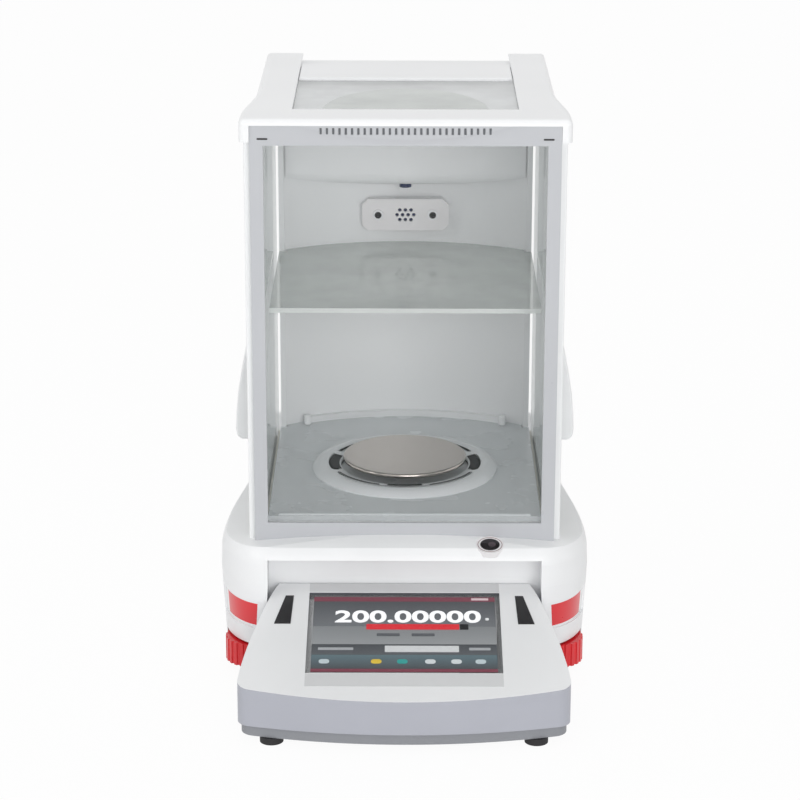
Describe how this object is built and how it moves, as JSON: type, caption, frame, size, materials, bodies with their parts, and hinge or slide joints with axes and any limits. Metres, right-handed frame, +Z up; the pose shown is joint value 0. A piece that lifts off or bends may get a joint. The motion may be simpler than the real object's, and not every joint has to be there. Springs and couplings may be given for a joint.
{
  "type": "precision balance",
  "caption": "Analytical balance with sliding glass doors around a round pan, a shelf, an ioniser, levelling wheels and a detached touch terminal.",
  "frame": {"origin": "on the table, below the centre of the footprint of base and terminal", "axes": "+Z up, -Y towards the terminal and the user, +X to the user's right"},
  "size_m": [0.23, 0.396, 0.35],
  "materials": {
    "white_shell": "satin white moulding",
    "white_frame": "satin white frame",
    "grey_floor": "satin grey plate",
    "border_grey": "printed grey border",
    "terminal_white": "satin off-white cover",
    "terminal_grey": "satin mid-grey body",
    "terminal_dark": "matt grey base",
    "red_trim": "red plastic",
    "black_plastic": "black plastic",
    "clear_glass": "clear float glass",
    "shelf_glass": "tinted plate",
    "screen_glass": "touch screen glass",
    "sensor_glass": "black infrared window",
    "display": "colour display",
    "pan_steel": "polished stainless steel",
    "ring_metal": "satin metal",
    "cell_alloy": "milled alloy",
    "weight_steel": "polished steel",
    "motor_metal": "zinc plated",
    "gear_plastic": "natural acetal",
    "mesh_black": "black mesh",
    "lamp_blue": "blue lamp",
    "board_green": "circuit board",
    "port_metal": "nickel plated",
    "rubber_black": "black rubber",
    "screw_steel": "zinc plated",
    "vial_glass": "bubble vial",
    "ring_white": "white ring"
  },
  "bodies": {
    "housing": {"base_cover": "white_shell", "base_plate": "terminal_grey", "base_screws": "screw_steel", "base_shell": "white_shell", "cell_magnet": "motor_metal", "corner_accents": "red_trim", "data_ports": "port_metal", "draft_ring": "ring_metal", "drive_motors": "motor_metal", "floor_plate": "grey_floor", "front_glass": "clear_glass", "front_posts": "white_frame", "glass_border": "border_grey", "header_cover": "white_frame", "ioniser_nozzles": "black_plastic", "ioniser_panel": "ring_white", "level_ring": "ring_white", "level_sockets": "terminal_grey", "level_vial": "vial_glass", "load_bracket": "cell_alloy", "main_board": "board_green", "port_plate": "terminal_dark", "power_jack": "black_plastic", "rear_feet": "rubber_black", "rear_wall": "white_frame", "ring_screen": "mesh_black", "shelf": "shelf_glass", "shelf_pins": "black_plastic", "status_lamps": "lamp_blue", "top_frame": "white_frame", "tower_shell": "white_frame", "vent_strip": "border_grey", "weigh_cell": "cell_alloy"},
    "left_door": {"side_glass_left": "clear_glass", "door_rack_left": "gear_plastic", "door_handle_left": "white_shell"},
    "right_door": {"side_glass_right": "clear_glass", "door_rack_right": "gear_plastic", "door_handle_right": "white_shell"},
    "left_pinion": {"door_pinion_left": "gear_plastic"},
    "right_pinion": {"door_pinion_right": "gear_plastic"},
    "top_door": {"top_glass": "clear_glass", "top_grip": "shelf_glass", "top_rear_bar": "white_frame"},
    "weighing_pan": {"pan": "pan_steel"},
    "left_wheel": {"level_wheel_left": "red_trim", "foot_pad_left": "rubber_black"},
    "right_wheel": {"level_wheel_right": "red_trim", "foot_pad_right": "rubber_black"},
    "weight_carrier": {"weight_lifter": "gear_plastic", "calibration_weight": "weight_steel"},
    "lifter_spindle": {"lifter_screw": "motor_metal"},
    "terminal": {"terminal_cover": "terminal_white", "terminal_body": "terminal_grey", "terminal_base": "terminal_dark", "terminal_feet": "rubber_black", "screen_glass": "screen_glass", "display_panel": "display", "sensor_windows": "sensor_glass", "terminal_board": "board_green"}
  },
  "joints": [
    {"name": "left_door_slide", "type": "slide", "parent": "housing", "child": "left_door", "axis": [0, 1, 0], "range_m": [0, 0.15]},
    {"name": "right_door_slide", "type": "slide", "parent": "housing", "child": "right_door", "axis": [0, 1, 0], "range_m": [0, 0.15]},
    {"name": "top_door_slide", "type": "slide", "parent": "housing", "child": "top_door", "axis": [0, 1, 0], "range_m": [0, 0.088]},
    {"name": "left_pinion_turn", "type": "hinge", "parent": "housing", "child": "left_pinion", "pos_m": [-0.07615, 0.098, 0.08], "axis": [0, 0, 1], "range_deg": [-860, 0]},
    {"name": "right_pinion_turn", "type": "hinge", "parent": "housing", "child": "right_pinion", "pos_m": [0.07615, 0.098, 0.08], "axis": [0, 0, 1], "range_deg": [0, 860]},
    {"name": "pan_lift", "type": "slide", "parent": "housing", "child": "weighing_pan", "axis": [0, 0, 1], "range_m": [0, 0.06]},
    {"name": "left_wheel_turn", "type": "hinge", "parent": "housing", "child": "left_wheel", "pos_m": [-0.095, -0.07, 0], "axis": [0, 0, 1], "range_deg": [-720, 720]},
    {"name": "right_wheel_turn", "type": "hinge", "parent": "housing", "child": "right_wheel", "pos_m": [0.095, -0.07, 0], "axis": [0, 0, 1], "range_deg": [-720, 720]},
    {"name": "weight_lift", "type": "slide", "parent": "housing", "child": "weight_carrier", "axis": [0, 0, 1], "range_m": [0, 0.004]},
    {"name": "spindle_turn", "type": "hinge", "parent": "housing", "child": "lifter_spindle", "pos_m": [0, -0.03, 0.03], "axis": [0, 0, 1], "range_deg": [0, 730]},
    {"name": "terminal_pull", "type": "slide", "parent": "housing", "child": "terminal", "axis": [0, -1, 0], "range_m": [0, 0.06]}
  ],
  "couplings": [
    {"joint": "left_pinion_turn", "follows": "left_door_slide", "rad_per_m": -100},
    {"joint": "right_pinion_turn", "follows": "right_door_slide", "rad_per_m": 100},
    {"joint": "spindle_turn", "follows": "weight_lift", "rad_per_m": 3141.6}
  ]
}
